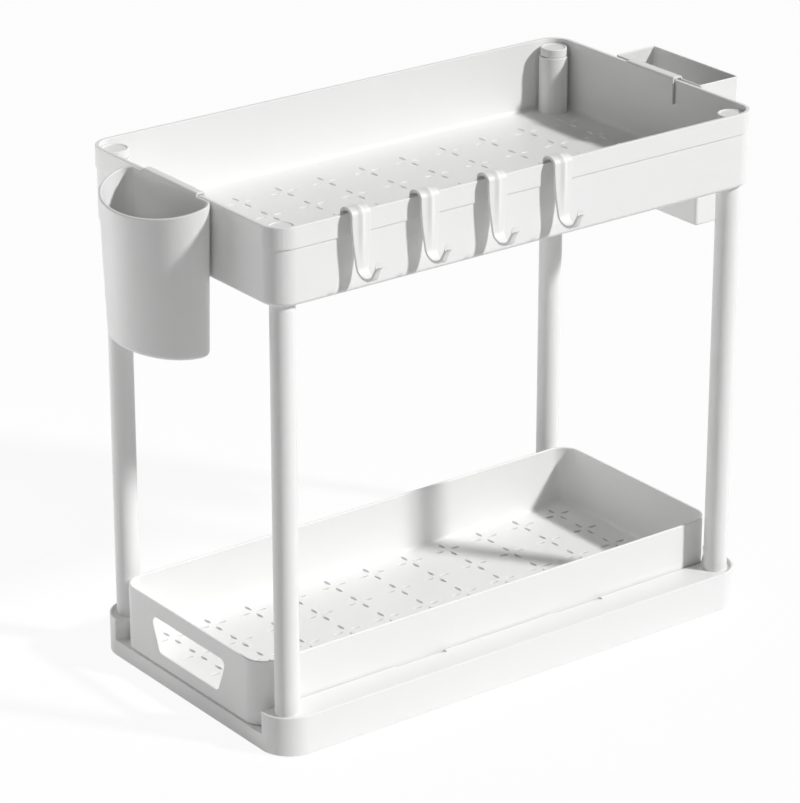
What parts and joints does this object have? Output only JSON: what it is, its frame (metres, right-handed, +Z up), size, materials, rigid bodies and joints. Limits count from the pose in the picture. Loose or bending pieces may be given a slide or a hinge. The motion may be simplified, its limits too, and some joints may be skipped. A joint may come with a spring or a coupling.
{
  "type": "sliding organizer shelf",
  "caption": "Two-tier sliding organizer shelf: a base on pads with a pull-out drawer, round posts, an upper tray, rim hooks, and a cup and a bin hung on its ends.",
  "frame": {"origin": "on the surface that the shelf stands on, under the middle of the whole object's bounding box, hanging cup, bin and hooks included", "axes": "+X along the length from the drawer's open end to the bin's end, +Y to the rear away from the hooks, +Z up"},
  "size_m": [0.4715, 0.2416, 0.366],
  "materials": {
    "white_plastic": "satin",
    "pad_rubber": "matte"
  },
  "bodies": {
    "frame": {"base_frame": "white_plastic", "upper_tray": "white_plastic", "post_front_left": "white_plastic", "post_front_right": "white_plastic", "post_rear_left": "white_plastic", "post_rear_right": "white_plastic", "post_cap_front_left": "white_plastic", "post_cap_front_right": "white_plastic", "post_cap_rear_left": "white_plastic", "post_cap_rear_right": "white_plastic", "base_pad_front_left": "pad_rubber", "base_pad_front_right": "pad_rubber", "base_pad_rear_left": "pad_rubber", "base_pad_rear_right": "pad_rubber"},
    "drawer": {"sliding_drawer": "white_plastic"},
    "cup": {"hanging_cup": "white_plastic"},
    "bin": {"hanging_bin": "white_plastic"},
    "hook_one": {"hook_1": "white_plastic"},
    "hook_two": {"hook_2": "white_plastic"},
    "hook_three": {"hook_3": "white_plastic"},
    "hook_four": {"hook_4": "white_plastic"}
  },
  "joints": [
    {"name": "drawer_slide", "type": "slide", "parent": "frame", "child": "drawer", "axis": [-1, 0, 0], "range_m": [0, 0.26]},
    {"name": "cup_lift", "type": "slide", "parent": "frame", "child": "cup", "axis": [0, 0, 1], "range_m": [0, 0.016]},
    {"name": "bin_lift", "type": "slide", "parent": "frame", "child": "bin", "axis": [0, 0, 1], "range_m": [0, 0.016]},
    {"name": "hook_one_slide", "type": "slide", "parent": "frame", "child": "hook_one", "axis": [1, 0, 0], "range_m": [-0.03, 0.017]},
    {"name": "hook_two_slide", "type": "slide", "parent": "frame", "child": "hook_two", "axis": [1, 0, 0], "range_m": [-0.017, 0.017]},
    {"name": "hook_three_slide", "type": "slide", "parent": "frame", "child": "hook_three", "axis": [1, 0, 0], "range_m": [-0.017, 0.017]},
    {"name": "hook_four_slide", "type": "slide", "parent": "frame", "child": "hook_four", "axis": [1, 0, 0], "range_m": [-0.017, 0.14]}
  ]
}
